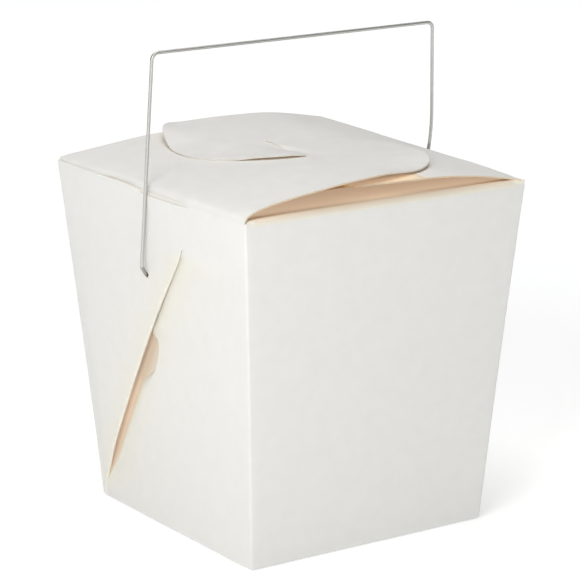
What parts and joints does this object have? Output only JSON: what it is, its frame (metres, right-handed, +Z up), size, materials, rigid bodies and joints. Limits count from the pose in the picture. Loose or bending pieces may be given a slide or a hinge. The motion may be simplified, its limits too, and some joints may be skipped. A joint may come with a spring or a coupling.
{
  "type": "noodle takeaway box",
  "caption": "Shut folded-board noodle takeaway box with tapered sides, webbed ends, interlocked closing flaps and a hinged wire bail.",
  "frame": {"origin": "centre of the base, on the surface that the box stands on", "axes": "+Z up, X along the bail's bar and its hinge, -Y out of the plain front panel"},
  "size_m": [0.0966, 0.1008, 0.1389],
  "materials": {
    "white_board": "satin white coated paperboard",
    "bright_wire": "bright drawn steel wire"
  },
  "bodies": {
    "carton": {"carton": "white_board"},
    "bail": {"bail": "bright_wire"}
  },
  "joints": [
    {"name": "bail_swing", "type": "hinge", "parent": "carton", "child": "bail", "pos_m": [0, 0.002, 0.0755], "axis": [1, 0, 0], "range_deg": [-143, 124]}
  ]
}
